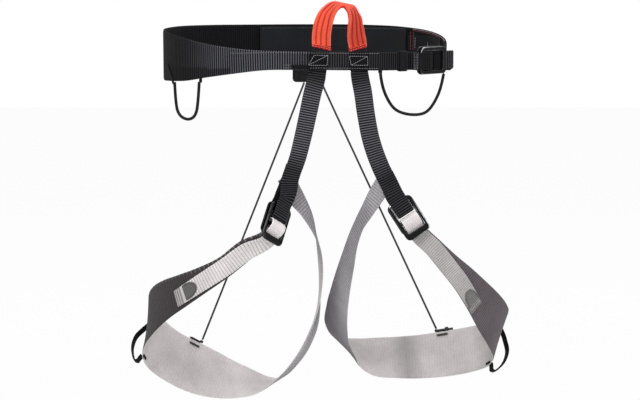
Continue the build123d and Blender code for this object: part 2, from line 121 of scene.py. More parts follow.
def curve_mesh(name, kind, lines, curve_settings, spline_settings):
    """The points, in mm, and the faces that Blender makes of a curve through lines of points."""
    curve = bpy.data.curves.new(name, "CURVE")
    for key, value in curve_settings.items():
        setattr(curve, key, value)
    for line in lines:
        spline = curve.splines.new(kind)
        spline.points.add(len(line) - 1)
        for point, place in zip(spline.points, line):
            point.co = (*(Vector(place).to_3d() * MM), 1)
        for key, value in spline_settings.items():
            setattr(spline, key, value)
    drawn = add_object(name, curve)
    bpy.context.view_layer.update()
    mesh = bpy.data.meshes.new_from_object(drawn.evaluated_get(bpy.context.evaluated_depsgraph_get()))
    points, faces = [v.co / MM for v in mesh.vertices], [tuple(p.vertices) for p in mesh.polygons]
    bpy.data.objects.remove(drawn)
    bpy.data.curves.remove(curve)
    bpy.data.meshes.remove(mesh)
    return points, faces


def arc(x, y, radius, first, last, steps):
    """Points of an arc from one angle to another, in degrees."""
    angles = [radians(first + (last - first) * k / steps) for k in range(steps + 1)]
    return [(x + radius * cos(angle), y + radius * sin(angle)) for angle in angles]


def ring(centre, side, up, radius, count):
    """Points round a circle; side and up are its axes."""
    return [centre + side * x + up * y for x, y in arc(0, 0, radius, 0, 360, count)[:-1]]


def running_lengths(points, least=0.0):
    """How far along a line each of its points is; least is the shortest step that counts."""
    lengths = [0.0]
    for a, b in zip(points, points[1:]):
        lengths.append(lengths[-1] + max((b - a).length, least))
    return lengths


# Ribbons
class Ribbon:
    """A smooth strip through stations; s is a place counted in stations, as 3.5 between 3 and 4."""

    def __init__(self, stations, side=LEFT, offset=0):
        self.side = side
        self.offset = offset
        self.points = [Vector(s.centre) for s in stations]
        self.times = running_lengths(self.points, 0.01)
        self.numbers = [offset + i for i in range(len(stations))]
        values = (self.points, [s.width for s in stations], [Vector(s.across).normalized() for s in stations])
        self.curves = [(v, [self.slope(v, i) for i in range(len(v))]) for v in values]

    def slope(self, values, i):
        """The slope of the parabola through three neighbouring stations, for uneven steps."""
        t = self.times
        if i == 0:
            return (values[1] - values[0]) / (t[1] - t[0])
        if i == len(t) - 1:
            return (values[-1] - values[-2]) / (t[-1] - t[-2])
        before, after = t[i] - t[i - 1], t[i + 1] - t[i]
        rise, fall = (values[i] - values[i - 1]) / before, (values[i + 1] - values[i]) / after
        return (rise * after + fall * before) / (before + after)

    def blend(self, curve, i, f):
        """The cubic between stations i and i + 1, at the share f of the way."""
        values, slopes = curve
        step = self.times[i + 1] - self.times[i]
        a = 2 * f ** 3 - 3 * f ** 2 + 1
        b = f ** 3 - 2 * f ** 2 + f
        c = -2 * f ** 3 + 3 * f ** 2
        d = f ** 3 - f ** 2
        return values[i] * a + slopes[i] * (b * step) + values[i + 1] * c + slopes[i + 1] * (d * step)

    def place(self, s, nudge=0.02):
        """The frame at a place counted in stations."""
        s = min(max(s - self.offset, 0.0), len(self.points) - 1.0)
        i = min(int(s), len(self.points) - 2)
        f = s - i
        centres, widths, acrosses = self.curves
        along = self.blend(centres, i, min(f + nudge, 1.0)) - self.blend(centres, i, max(f - nudge, 0.0))
        along.normalize()
        across = self.blend(acrosses, i, f)
        across = (across - along * across.dot(along)).normalized()
        return Frame(self.blend(centres, i, f), self.blend(widths, i, f), along, across,
                     along.cross(across) * self.side)

    def at(self, s, v=0.0, out=0.0):
        """A point on the ribbon: v mm across from its middle, out mm off its surface."""
        return self.place(s).point(v, out)

    def far(self, distance):
        """The place a distance in mm along from the first station."""
        return interp(distance, self.times, self.numbers)

    def distance(self, s):
        """How far along a place is, in mm from the first station."""
        return interp(s, self.numbers, self.times)

    def walk(self, first, last, step, fineness=40):
        """Places from first to last about step mm apart, with the distance along at each."""
        count = max(2, int(abs(last - first) * fineness))
        fine = [first + (last - first) * k / count for k in range(count + 1)]
        lengths = running_lengths([self.place(s).centre for s in fine])
        distances = [step * k for k in range(int(lengths[-1] / step) + 1)]
        places = [interp(distance, lengths, fine) for distance in distances]
        if lengths[-1] - distances[-1] > step * 0.3:
            places.append(last)
            distances.append(lengths[-1])
        else:
            places[-1] = last
        return places, distances


def edge_round(v, half, thickness, corner=0.7, thin=0.06):
    """How thick a webbing is, v mm from its middle: full, and rounded off in its last mm down to thin."""
    inset = max(0.0, abs(v) - (half - thickness * corner)) / (thickness * corner)
    return sqrt(max(0.0, 1 - inset ** 2)) * (1 - thin) + thin


SLANT_FADE = 9              # mm from a ribbon's end over which its slant fades out
EDGE_BIAS = 0.35            # how much closer together a webbing's rows of points stand towards its edges
RIB_POWER = 0.7             # below 1, the valleys between the ribs are narrow
RIB_NOTCH = 0.7             # how far a valley cuts into the webbing's edges, as a share of its depth


def strip(name, ribbon, thickness, material, slot, body, *nodes, pitch=2.7, depth=0.3, columns=10, span=None,
          step=None, width=None, shape=None, tone=1.0, slant=(0.0, 0.0), inner=1.0):
    """A piece of webbing, as a closed mesh with real ribs across it.

    pitch and depth are the ribs' spacing and height; span and width stand for the ribbon's own;
    shape(distance, v, half) returns a small lift in mm, for a crown, a pucker or a crease;
    tone, a number or tone(place, v, face), is how light its colour is: mostly painted light and shade;
    slant is how far each end leans along the ribbon for each mm across it; inner is how high the ribs of the
    inner face stand, as a share of the outer ones.
    """
    span = span or (ribbon.numbers[0], ribbon.numbers[-1])
    places, distances = ribbon.walk(*span, step or (pitch / 6 if pitch else 2.0))
    spread = [-1 + 2 * k / columns for k in range(columns + 1)]
    spread = [sin(x * pi / 2) * EDGE_BIAS + x * (1 - EDGE_BIAS) for x in spread]
    outline = [(x, 1) for x in spread] + [(x, -1) for x in reversed(spread)]
    points, uv = [], []
    layers = {key: [] for key in ("face_side", "edge_mm", "groove", "tone")}
    for s, distance in zip(places, distances):
        f = ribbon.place(s)
        half = (width or f.width) / 2
        rib = (0.5 + 0.5 * cos(2 * pi * distance / pitch)) ** RIB_POWER if pitch else 1.0
        half_here = half - (1 - rib) * depth * RIB_NOTCH
        lean = (slant[0] * max(0.0, 1 - distance / SLANT_FADE)
                + slant[1] * max(0.0, 1 - (distances[-1] - distance) / SLANT_FADE))
        for x, face in outline:
            v = x * half_here
            skin = thickness / 2 * edge_round(v, half_here, thickness)
            skin -= (1 - rib) * depth * min(1.0, skin / (thickness / 2)) * (1.0 if face > 0 else inner)
            lift = (shape(distance, v, half) if shape else 0.0) + face * skin
            points.append(f.point(v, lift, lean * v))
            uv.append((distance * MM, v * MM))
            here = (face, half_here - abs(v), 1 - rib, tone(s, v, face) if callable(tone) else tone)
            for layer, value in zip(layers.values(), here):
                layer.append(value)
    obj = mesh_object(name, points, tube_faces(len(places), len(outline), flip=ribbon.side < 0), uv, layers)
    return finish_piece(obj, material, slot, body, *nodes)


# Stitches
STITCH = [(0.0, 0.35, -0.7), (0.12, 0.85, -0.1), (0.5, 1.0, 0.25), (0.88, 0.85, -0.1), (1.0, 0.35, -0.7)]
STITCH_SIDES = 6


def sew(name, lines, length, gap, radius, material, slot, body):
    """Thread stitches along lines, as a piece; each line is a list of (point, outward direction).

    STITCH is a stitch's profile: how far along it, how thick there, and how high, both in radii.
    """
    points, faces = [], []
    for line in lines:
        lengths = running_lengths([point for point, _ in line])
        count = max(1, round(lengths[-1] / (length + gap)))
        step = lengths[-1] / count
        half_gap = gap / 2 * step / (length + gap)

        def along_line(distance):
            at = interp(distance, lengths, range(len(lengths)))
            i = min(int(at), len(line) - 2)
            (a, up_a), (b, up_b) = line[i:i + 2]
            return a.lerp(b, at - i), up_a.lerp(up_b, at - i).normalized()

        for k in range(count):
            (a, up_a), (b, up_b) = along_line(k * step + half_gap), along_line((k + 1) * step - half_gap)
            start = len(points)
            for t, size, rise in STITCH:
                up = up_a.lerp(up_b, t).normalized()
                side = (b - a).normalized().cross(up).normalized()
                points += ring(a + (b - a) * t + up * (rise * radius), side, up, radius * size, STITCH_SIDES)
            faces += tube_faces(len(STITCH), STITCH_SIDES, start)
    finish_piece(mesh_object(name, points, faces), material, slot, body)


def seam(ribbon, places, out):
    """A line of stitches on a ribbon through (place, v) pairs, finely divided so that it follows the face."""
    line = []
    for (s0, v0), (s1, v1) in zip(places, places[1:]):
        steps = max(2, int(abs(s1 - s0) * 12) + 1)
        for k in range(steps + (1 if (s1, v1) == places[-1] else 0)):
            t = k / steps
            s, v = s0 + (s1 - s0) * t, v0 + (v1 - v0) * t
            line.append((ribbon.at(s, v, out), ribbon.place(s).out * (1 if out > 0 else -1)))
    return line


# Places, in mm, the same as the solid model's but for the upper end of the right leg's band, which is 4 mm
# nearer to its riser
class Plane:
    """x along a buckle's bars, y up to the fixed webbing, z outwards."""

    def __init__(self, origin, x_dir, y_dir, z_dir):
        self.origin, self.x, self.y, self.z = Vector(origin), x_dir, y_dir, z_dir

    def point(self, x, y, z):
        return self.origin + self.x * x + self.y * y + self.z * z


def buckle_plane(origin, across, down):
    x_dir, down_dir = Vector(across).normalized(), Vector(down)
    down_dir = (down_dir - x_dir * down_dir.dot(x_dir)).normalized()
    return Plane(origin, x_dir, -down_dir, down_dir.cross(x_dir))


BUCKLES = {
    "waist": buckle_plane((140, -56.5, -3.5), (0, 0, 1), (0.75, 0.66, 0)),
    "left": buckle_plane((-33, -108, -178), (0.70, 0.50, -0.52), (-0.30, -0.50, -0.80)),
    "right": buckle_plane((113, -110, -171), (0.84, 0.12, 0.53), (0.55, -0.12, -0.83)),
}
WRAP_Y, WRAP_RADIUS = -2.5, 2.4
LOOP_Y, LOOP_RADIUS, LOOP_Z = 8.0, 5.2, 2.6
WAIST_EXIT = -22.0


def in_buckle(plane, places, side):
    """Stations of webbing in a buckle, through (y, z) places."""
    return [Station(plane.point(0, y, z), WEB, plane.x * -side) for y, z in places]


# The leg webbing's way through its buckle: behind it, round the middle bar and out in a loose roll
LEG_WRAP = [
    (-14, -3.4), (-7, -2.5), (-3, -2.5), (-1.2, -1.6), (0.1, 0.8), (0.5, 4), (-0.3, 7.2), (-3, 9.6), (-7, 10),
    (-11, 8), (-14, 5), (-15.6, 2.9), (-17.8, 2.3)]


def loop_stations(plane, side):
    """Down in front of a buckle's two upper bars, round them and up again behind."""
    front, back = LOOP_Z + LOOP_RADIUS, LOOP_Z - LOOP_RADIUS
    way = [(27, front + 1.5), (22, front + 0.2), (14, front), *arc(LOOP_Y, LOOP_Z, LOOP_RADIUS, 90, 270, 4),
           (14, back), (22, back), (27, back + 1.5)]
    return in_buckle(plane, way, side)


BELT_X, BELT_Y = 161, 111      # half the sizes of the belt's oval


def on_belt(angle, height, width=WEB, out=0.0):
    c, s = cos(radians(angle)), sin(radians(angle))
    normal = Vector((c / BELT_X, s / BELT_Y, 0)).normalized()
    centre = Vector((BELT_X * c, BELT_Y * s, height)) + normal * out
    return Station(centre, width, (0, 0, 1))


def stations_at(*rows):
    """Stations from rows of a centre, a width where it isn't the narrow webbing's, and a direction across."""
    return [Station(row[:3], row[3] if len(row) == 7 else WEB, row[-3:]) for row in rows]


# Each row: an angle round the belt, a height and a width
BELT_ROUND = [
    (-10, -2.5, 23), (-1, -1, 31), (10, 0, 38), (25, 1, 46), (45, 2.5, 51), (68, 3.5, 52), (90, 3.5, 52),
    (112, 3, 53), (135, 2, 56), (155, 1, 58), (172, 0, 58), (188, -0.5, 57), (202, -1.5, 53),
    (215, -2.6, 47.2), (228, -2.6, 37.2), (241, -2.1, 28.2), (254, -1, 21.5), (268, -1, WEB),
    (284, -1.5, WEB), (299, -2.5, WEB), (310, -3, WEB), (318, -3.4, WEB)]
BELT_BEFORE = 8             # stations of webbing in the waist buckle, before BELT_ROUND starts

TIE_IN = stations_at(
    (18.8, -107.2, 12, -1, -0.07, 0), (18.6, -109, 18.5, -1, 0, 0.1), (19, -113.5, 29, -0.98, 0.1, 0.1),
    (21, -117, 40, -0.97, 0.25, 0), (26, -117.5, 51, -0.75, 0.6, 0.25), (34, -117, 58, -0.35, 0.9, 0.3),
    (43, -117, 59, 0.05, 1, 0), (50, -118, 55, 0.4, 0.9, 0.1), (54, -117.5, 46, 0.6, 0.8, 0),
    (55, -114, 35, 0.75, 0.6, 0), (56.3, -107, 25, 0.88, 0.4, 0.05), (57.8, -101, 17, 0.965, 0.262, 0),
    (58.2, -100.3, 12, 0.965, 0.262, 0))

RISERS = {
    "left": stations_at(
        (19.3, -107.1, 9.5, 1, 0.07, 0), (19.2, -107.1, 6, 1, 0.07, 0), (14.6, -107.4, -8.5, 1, 0.07, 0),
        (14.2, -107.4, -13.2, 1, 0.07, 0), (14, -107.5, -14.4, 1, 0.07, -0.1),
        (13.2, -108.4, -20, 1, 0.08, -0.1), (9.5, -110.8, -34, 1, 0.1, -0.15),
        (4.5, -112, -57, 0.95, 0.2, -0.2), (-1, -111.5, -82, 0.95, 0.28, -0.25),
        (-7, -111, -106, 0.9, 0.35, -0.28), (-15, -108, -130, 0.85, 0.4, -0.4)),
    "right": stations_at(
        (58.2, -100.3, 9.5, -0.965, -0.262, 0), (58.3, -100.3, 6, -0.965, -0.262, 0),
        (59.8, -99.9, -8.5, -0.965, -0.262, 0), (60.1, -99.8, -13.2, -0.965, -0.262, 0),
        (60.2, -100.2, -15.2, -0.98, -0.2, 0), (61, -101.8, -21, -1, -0.1, 0),
        (63.6, -106, -34, -1, 0.05, -0.05), (66.8, -110.5, -57, -1, 0.2, -0.1),
        (73, -111.5, -88, -0.95, 0.2, -0.25), (83, -111, -116, -0.9, 0.15, -0.4),
        (94, -111, -138, -0.85, 0, -0.5)),
}
LEG_BANDS = {
    "left": stations_at(
        (-21, -103, -127.8, 0.85, 0.3, 0.44), (-9, -84.5, -154, 0.8, 0.42, 0.25),
        (2, -82, -171, 21, 0.5, 0.85, 0.2), (9, -76, -186, 23, 0.12, 0.93, 0.35),
        (14, -66, -203, 27, -0.16, 0.86, 0.47), (17, -50, -226, 32, -0.2, 0.8, 0.55),
        (17.5, -33, -252, 37, -0.1, 0.85, 0.5), (15.5, -14, -283, 43, 0.05, 0.9, 0.42),
        (10.5, 4, -313, 48, 0.29, 0.85, 0.44), (1, 22, -344, 54, 0.41, 0.86, 0.3),
        (-17, 36, -375, 58, 0.38, 0.92, 0.08), (-39, 45, -396, 60, 0.3, 0.95, 0),
        (-82, 50, -395.5, 61, 0.08, 0.87, 0.48), (-118, 50, -385, 62, 0.13, 0.6, 0.8),
        (-148, 47, -371, 60, 0.17, 0.3, 0.95), (-171, 37, -353, 58, 0.2, 0.2, 0.95),
        (-183, 18, -329.5, 58, 0.15, 0.25, 0.95), (-183, -6, -308, 58, 0.06, 0.32, 0.95),
        (-173, -32, -290, 53, -0.06, 0.42, 0.9), (-158, -55, -275, 46, -0.22, 0.5, 0.82),
        (-138, -75, -261, 38, -0.32, 0.45, 0.8), (-115, -92, -246, 30, -0.42, 0.35, 0.78),
        (-88, -105, -228, 24, -0.52, 0.15, 0.78), (-64, -113.2, -207.6, 23.5, -0.6, -0.1, 0.74)),
    "right": stations_at(
        (87.5, -106, -134, -0.92, 0.2, 0.33), (78, -99, -151, -0.76, 0.42, 0.5),
        (70, -93, -166, 20.5, -0.55, 0.66, 0.5), (62, -86, -181, 22, -0.38, 0.82, 0.42),
        (55, -76, -201, 25, -0.38, 0.86, 0.34), (49, -62, -228, 30, -0.44, 0.82, 0.34),
        (43, -45, -257, 36, -0.46, 0.8, 0.36), (39, -27, -283, 42, -0.47, 0.8, 0.36),
        (37, -8, -306, 48, -0.5, 0.78, 0.38), (38, 12, -331, 53, -0.56, 0.72, 0.4),
        (49, 28, -351, 58, -0.58, 0.66, 0.48), (72, 39, -362, 61, -0.42, 0.7, 0.57),
        (104, 45, -365, 61, -0.25, 0.72, 0.64), (138, 46, -364, 61, -0.12, 0.7, 0.7),
        (170, 41, -359, 61, 0, 0.64, 0.76), (199, 31, -351, 61, 0.1, 0.6, 0.78),
        (220, 14, -340, 60, 0.22, 0.53, 0.81), (227, -8, -325, 58, 0.33, 0.42, 0.84),
        (221, -31, -309, 54, 0.42, 0.38, 0.82), (208, -53, -288, 48, 0.5, 0.36, 0.78),
        (193, -73, -266, 39, 0.55, 0.35, 0.73), (177, -89, -245, 31, 0.63, 0.3, 0.68),
        (159, -101, -225, 25, 0.7, 0.2, 0.65), (143, -109, -207, 21.5, 0.76, 0.1, 0.6)),
}
TACK = 4                    # stations of a riser that are sewn behind the belt
HOOK_AT = {"left": 13.87, "right": 13.83}
KEEPER_AT = {"left": 15.75, "right": 16.05}
TAIL_END = 19.7             # where on the leg's band its adjusting strap ends
KEEPER_PATH = [
    (24, 2.2), (22, 6), (16, 11.5), (7, 16.5), (-3, 20.5), (-13, 20), (-22, 17), (-30, 12), (-35.5, 7),
    (-35.5, 3.6), (-31, 2.3), (-27.5, 2.3)]
KEEPER_WIDTH = 9.0
TAB_EXITS = {"left": (-2, 113.8, -41), "right": (19, 113.8, -41)}
GEAR_LOOPS = {
    "left": [(-145.5, -47.5, -28.5), (-144.7, -48.3, -48.6), (-141.8, -51.1, -64.7), (-130.4, -62.4, -70.3),
             (-120.2, -72.5, -64.4), (-117.3, -75.3, -46.4), (-116, -76.6, -26.4)],
    "right": [(83, -93, -13.5), (84, -92, -25), (89.6, -86.5, -42), (98.9, -77.3, -56.7), (111.7, -64.7, -63),
              (127, -49.6, -65.4), (138.2, -38.5, -63), (147.2, -29.7, -52), (154.3, -22.7, -37),
              (157.3, -19.7, -21.5)],
}


# Materials
def rgb(*display):
    """A linear colour from 0-255 display values."""
    shares = [c / 255 for c in display]
    return (*(c / 12.92 if c <= 0.04045 else ((c + 0.055) / 1.055) ** 2.4 for c in shares), 1.0)


class Nodes:
    """A node tree and short ways to add to it; values are numbers, colours or other nodes' outputs."""

    def __init__(self, tree):
        self.nodes, self.links = tree.nodes, tree.links

    def fill(self, node, inputs):
        for key, value in dict(inputs).items():
            if isinstance(value, bpy.types.NodeSocket):
                self.links.new(value, node.inputs[key])
            elif value is not None:
                node.inputs[key].default_value = value

    def add(self, kind, inputs=(), output=0, **settings):
        node = self.nodes.new("ShaderNode" + kind)
        for key, value in settings.items():
            setattr(node, key, value)
        self.fill(node, inputs)
        return node.outputs[output]

    def math(self, operation, *values):
        return self.add("Math", enumerate(values), operation=operation)

    def product(self, first, *others):
        for value in others:
            first = self.math("MULTIPLY", first, value)
        return first

    def wave(self, turns):
        """0 at whole turns, and 1 halfway between them."""
        return self.math("ABSOLUTE", self.math("SINE", self.product(turns, pi)))

    def mix(self, factor, a, b, blend_type="MIX"):
        return self.add("Mix", {0: factor, 6: a, 7: b}, 2, data_type="RGBA", blend_type=blend_type)

    def tint(self, color, tone):
        return self.mix(1.0, color, self.add("CombineColor", {0: tone, 1: tone, 2: tone}), "MULTIPLY")

    def ramp(self, value, low, high, low_to=0.0, high_to=1.0):
        return self.add("MapRange", enumerate((value, low, high, low_to, high_to)))

    def attribute(self, name):
        return self.add("Attribute", output="Fac", attribute_name=name)

    def uv(self):
        place = self.add("UVMap", uv_map="UVMap")
        return [self.add("SeparateXYZ", {0: place}, axis) for axis in ("X", "Y")]

    def noise(self, scale, detail=3.0, roughness=0.6):
        place = self.add("TexCoord", output="Object")
        inputs = {"Scale": scale, "Detail": detail, "Roughness": roughness, "Vector": place}
        return self.add("TexNoise", inputs, "Fac")

    def mottle(self, scale, detail, low_to, high_to):
        """Noise as tones from low_to to high_to."""
        return self.ramp(self.noise(scale, detail), 0.3, 0.7, low_to, high_to)

    def bump(self, height, distance, strength=1.0):
        return self.add("Bump", {"Strength": strength, "Distance": distance, "Height": height})

    def seen_directly(self):
        """1 for the camera, mirrors and glass that see the backdrop, 0 for its light on the object."""
        value = self.add("LightPath", output="Is Camera Ray")
        for other in ("Is Glossy Ray", "Is Transmission Ray"):
            value = self.math("MAXIMUM", value, self.add("LightPath", output=other))
        return value

    def blend(self, factor, first, second):
        return self.add("MixShader", enumerate((factor, first, second)))


class Look(Nodes):
    """A material under way."""

    def __init__(self, name):
        self.material = bpy.data.materials.new(name)
        self.material.use_nodes = True
        super().__init__(self.material.node_tree)

    def finish(self, color, normal, roughness, sheen=0.0, coat=0.0, metallic=0.0, specular=None):
        self.fill(self.nodes["Principled BSDF"], {
            "Base Color": color, "Normal": normal, "Roughness": roughness, "Metallic": metallic,
            "Sheen Weight": sheen, "Sheen Roughness": 0.5, "Coat Weight": coat, "Coat Roughness": 0.08,
            "Specular IOR Level": specular})
        return self.material


def webbing(name, outer, inner=None, groove=0.6, pitch=2.7, thread=1.0, roughness=0.85, sheen=0.05, fade=0.25,
            edge_light=0.25, specular=0.12, valley=(0.0, 0.6), inner_groove=None, pale=None,
            turn_pale=(1.1, 1.8)):
    """Woven webbing: ribs across it, threads along it, a painted highlight along each edge and slight fading.

    groove is how dark the valleys between ribs are, a painted shade; valley is where, from crest 0 to valley 1,
    they darken.
    pale is the outer colour's hue where the tone, mostly painted light, is high, and turn_pale the tones it
    changes over.
    """
    look = Look(name)
    u, v = look.uv()
    row = look.math("FLOOR", look.math("DIVIDE", u, pitch * MM))
    odd = look.product(look.math("MODULO", row, 2.0), 0.5)
    warp = look.wave(look.math("ADD", look.math("DIVIDE", v, thread * MM), odd))
    height = look.math("ADD", look.product(warp, 0.5), look.noise(2600.0, 2.0))
    face = look.ramp(look.attribute("face_side"), -0.2, 0.2)
    tone = look.attribute("tone")
    outer_color = look.mix(look.ramp(tone, *turn_pale), outer, pale) if pale else outer
    if inner_groove is not None:
        groove = look.ramp(face, 0.0, 1.0, inner_groove, groove)
    # Painted shade in the valleys between the ribs
    valleys = look.product(look.ramp(look.attribute("groove"), *valley), groove)
    # The last factor is the painted highlight along the edges
    shade = look.product(
        look.math("SUBTRACT", 1.0, valleys), look.ramp(warp, 0.0, 1.0, 0.86, 1.06),
        look.mottle(28.0, 4.0, 1.0 - fade * 0.5, 1.0 + fade * 0.5), look.mottle(700.0, 2.0, 0.9, 1.1), tone,
        look.ramp(look.attribute("edge_mm"), 0.2, 1.2, 1.0 + edge_light, 1.0))
    color = look.tint(look.mix(face, inner or outer, outer_color), shade)
    return look.finish(color, look.bump(height, 0.00016), roughness, sheen, specular=specular)


def thread_look(name, color):
    """Sewing thread: a fine twist and a slight sheen."""
    look = Look(name)
    color = look.tint(color, look.mottle(900.0, 2.0, 0.8, 1.15))
    return look.finish(color, look.bump(look.noise(4000.0, 1.0), 0.0001), 0.55, sheen=0.2)


def cord_look(name, color, strands=8.0, twist=2.4):
    """A braided sheath: two sets of strands crossing round the cord."""
    look = Look(name)
    u, v = look.uv()
    across, along = look.product(v, strands), look.math("DIVIDE", u, twist * MM)
    braid = look.math("MAXIMUM", *(look.wave(look.math(way, across, along)) for way in ("ADD", "SUBTRACT")))
    tone = look.product(look.ramp(braid, 0.4, 1.0, 0.45, 1.1), look.mottle(500.0, 3.0, 0.85, 1.15))
    return look.finish(look.tint(color, tone), look.bump(braid, 0.00018), 0.75, specular=0.15)


def anodised(name):
    """Black anodised metal, glossy, with a painted highlight: a pale metal colour along some of its chamfers.
    """
    look = Look(name)
    # painted_glint: where the marked chamfers get the pale colour of a painted highlight, and a little more
    # roughness
    painted_glint = look.product(look.attribute("rim"), look.ramp(look.noise(180.0, 4.0, 0.7), 0.3, 0.55))
    color = look.mix(painted_glint, rgb(16, 16, 18), rgb(205, 205, 210))
    scratches = look.noise(1500.0, 3.0, 0.7)
    rough = look.math("ADD", look.ramp(scratches, 0.3, 0.7, 0.14, 0.26), look.product(painted_glint, 0.15))
    return look.finish(color, look.bump(scratches, 0.00002, 0.4), rough, coat=0.25, metallic=1.0)


def moulded(name, color, roughness=0.5):
    """Moulded plastic with a fine grained face."""
    look = Look(name)
    color = look.tint(color, look.mottle(60.0, 3.0, 0.85, 1.15))
    rough = look.mottle(300.0, 3.0, roughness - 0.08, roughness + 0.12)
    return look.finish(color, look.bump(look.noise(2200.0, 3.0), 0.00008), rough)


BELT_WEB = webbing("belt webbing", rgb(122, 123, 132), rgb(26, 27, 32), groove=0.95, edge_light=0.5,
                   valley=(0.0, 0.42))
RISER_WEB = webbing("riser webbing", rgb(112, 112, 120), groove=0.94, edge_light=0.2, valley=(0.0, 0.45))
TIE_WEB = webbing("tie-in webbing", rgb(46, 46, 54))
# The leg webbing's outer face turns grey where its tone is high: a painted sheen on the lit strips
LEG_WEB = webbing("leg webbing", rgb(112, 103, 108), rgb(212, 206, 206), groove=0.46, pitch=3.2,
                  valley=(0.2, 1.0), sheen=0.1, specular=0.2, inner_groove=0.07, pale=rgb(109, 107, 110))
STRAP_WEB = webbing("strap webbing", rgb(226, 221, 220), rgb(150, 142, 146), groove=0.45, pitch=3.6,
                    edge_light=0.1, valley=(0.5, 1.0), specular=0.2)
LINING = webbing("belt lining", rgb(26, 27, 31), groove=0.0, pitch=1.0, fade=0.3)
TRIM = webbing("binding tape", rgb(16, 16, 19), groove=0.3, pitch=1.6, thread=0.8)
ELASTIC = webbing("elastic tape", rgb(20, 20, 23), groove=0.4, pitch=1.1, thread=0.7)
# The sleeve turns deep red where its tone is low, in its painted shade and at its hems, and pale where the tone
# is high
SLEEVE = webbing("tie-in sleeve", rgb(214, 38, 32), groove=0.0, pitch=1.2, thread=0.8, roughness=0.7, sheen=0.1,
                 fade=0.3, specular=0.2, pale=rgb(240, 90, 62), turn_pale=(0.72, 0.96))
METAL = anodised("anodised metal")
PLASTIC = moulded("moulded hook", rgb(14, 14, 16))
TAB_CLOTH = moulded("back tab cloth", rgb(7, 5, 8), roughness=0.95)
CORD_BRAID = cord_look("elastic cord", rgb(66, 64, 68))
GEAR_BRAID = cord_look("gear loop cord", rgb(30, 30, 34), strands=10.0, twist=3.0)
GREY_THREAD, PALE_THREAD, DARK_THREAD, ORANGE_THREAD, RED_THREAD = (
    thread_look(name + " thread", rgb(*color)) for name, color in (
        ("grey", (150, 146, 156)), ("pale", (214, 210, 210)), ("black", (34, 34, 38)),
        ("orange", (255, 138, 118)), ("red", (155, 68, 60))))


def table(*pairs):
    """A function that runs straight between (place, value) pairs."""
    places, values = zip(*pairs)
    return lambda s: float(interp(s, places, values))


# Waist belt
def belt_place(angle):
    """The place on the belt's ribbon of an angle round it; past the last station it runs on to the buckle."""
    angles = [row[0] for row in BELT_ROUND] + [340]
    return BELT_BEFORE + interp(angle, angles, range(len(angles)))


def make_belt():
    plane = BUCKLES["waist"]
    wrap = [(WAIST_EXIT, WRAP_RADIUS), (-12, WRAP_RADIUS), *arc(WRAP_Y, 0, WRAP_RADIUS, 90, -90, 4),
            (-12, -3.0)]
    belt = Ribbon(in_buckle(plane, wrap, RIGHT) + [on_belt(*row) for row in BELT_ROUND]
                  + loop_stations(plane, RIGHT))
    # Painted light and shade round the belt's outer face: dark at its left side, at its front right and inside
    # the buckle, lighter on its front left; the 0.06 stretches at 272-279 and 288-295.5 degrees are its dark
    # stitched boxes
    by_angle = ((-10, 0.07), (0, 0.2), (90, 0.3), (165, 0.2), (186, 0.06), (205, 0.06), (216, 0.12),
                (224, 0.34), (236, 0.6), (250, 0.72), (262, 0.72), (271, 0.45), (272, 0.06), (279, 0.06),
                (280, 0.3), (287, 0.26), (288, 0.06), (295.5, 0.06), (296, 0.2), (304, 0.15), (316, 0.12),
                (322, 0.25), (336, 0.25), (338, 0.06))
    # From station 1.05 to 1.5, where the webbing wraps the buckle's bar, a painted highlight
    outer = table((0, 0.06), (1, 0.06), (1.05, 0.45), (1.5, 0.45), (1.56, 0.06),
                  *((belt_place(angle), value) for angle, value in by_angle))
    # Darker along the lower edge from 200 to 240 degrees; the inner face is at 0.8
    low_from, low_to = belt_place(200), belt_place(240)

    def tone(s, v, face):
        if face <= 0:
            return 0.8
        return outer(s) * (0.4 if low_from < s < low_to and v < -8 else 1.0)

    strip("waist_webbing", belt, 1.6, BELT_WEB, "belt_webbing", "waist_belt", "waist_band",
          depth=0.32, columns=16, tone=tone)
    return belt


belt = make_belt()


def on_face(path, width, lift, upright=False):
    """A ribbon along the belt's face through (angle, height) places, or across it; lift is below 0 inside."""
    found = []
    for angle, height in path:
        f = belt.place(belt_place(angle))
        centre = Vector((f.centre.x, f.centre.y, height)) + f.out * lift
        found.append(Station(centre, width, f.along if upright else (0, 0, 1)))
    return Ribbon(found)


def angles_between(first, last, count=12):
    return [first + (last - first) * k / count for k in range(count + 1)]


def belt_seam(path, out=1.0):
    """A line of stitches on the belt through (angle, v) places."""
    return seam(belt, [(belt_place(angle), v) for angle, v in path], out)


